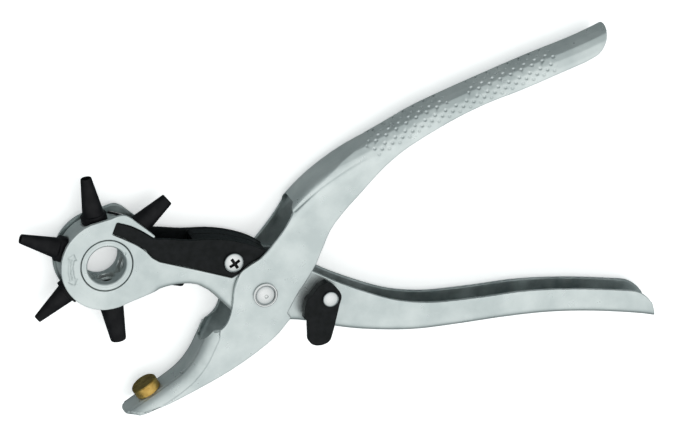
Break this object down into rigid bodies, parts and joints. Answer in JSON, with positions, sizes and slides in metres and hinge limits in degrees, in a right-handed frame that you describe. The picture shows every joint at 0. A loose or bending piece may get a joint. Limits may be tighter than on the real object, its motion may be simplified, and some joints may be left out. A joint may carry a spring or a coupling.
{
  "type": "revolving hole punch pliers",
  "caption": "Revolving hole punch pliers for leather: a turning head of tube punches, a brass anvil pad, a black arm cover, a thumb latch and a spring that opens the handles.",
  "frame": {"origin": "on the main pivot's axis, in the plane of the rear rivet head's flat face, on which the tool lies", "axes": "+X from the turret towards the handles, +Y across the jaws to the handle of the anvil's lever, +Z out of the front side"},
  "size_m": [0.222, 0.1304, 0.0236],
  "materials": {
    "plated_steel": "satin nickel plate",
    "bright_steel": "bright nickel plate",
    "black_oxide": "satin black oxide",
    "black_plastic": "satin black",
    "brass": "turned",
    "spring_steel": "drawn wire"
  },
  "bodies": {
    "head_lever": {"head_lever": "plated_steel", "pivot_rivet": "bright_steel", "pivot_sleeve": "bright_steel", "opening_spring": "spring_steel", "cover_front": "black_plastic", "cover_rear": "black_plastic", "cover_screw": "bright_steel", "cover_nut": "bright_steel", "detent_ball": "bright_steel", "latch_rivet": "bright_steel", "latch_washer": "bright_steel"},
    "anvil_lever": {"anvil_lever": "plated_steel", "anvil": "brass"},
    "turret": {"turret_drum": "plated_steel", "punch_2_0": "black_oxide", "punch_2_5": "black_oxide", "punch_3_0": "black_oxide", "punch_3_5": "black_oxide", "punch_4_0": "black_oxide", "punch_4_5": "black_oxide"},
    "latch": {"latch_lever": "black_plastic"}
  },
  "joints": [
    {"name": "jaw", "type": "hinge", "parent": "head_lever", "child": "anvil_lever", "pos_m": [0, 0, 0.0098], "axis": [0, 0, -1], "range_deg": [0, 20], "stiffness_Nm_per_rad": 1.4, "springref_deg": -12.03, "deforming": ["opening_spring"]},
    {"name": "turret_turn", "type": "hinge", "parent": "head_lever", "child": "turret", "pos_m": [-0.05435, 0.01246, 0.0098], "axis": [0, 0, 1], "continuous": true},
    {"name": "latch_swing", "type": "hinge", "parent": "head_lever", "child": "latch", "pos_m": [0.0216, -0.0012, 0.0202], "axis": [0, 0, -1], "range_deg": [0, 38]}
  ]
}
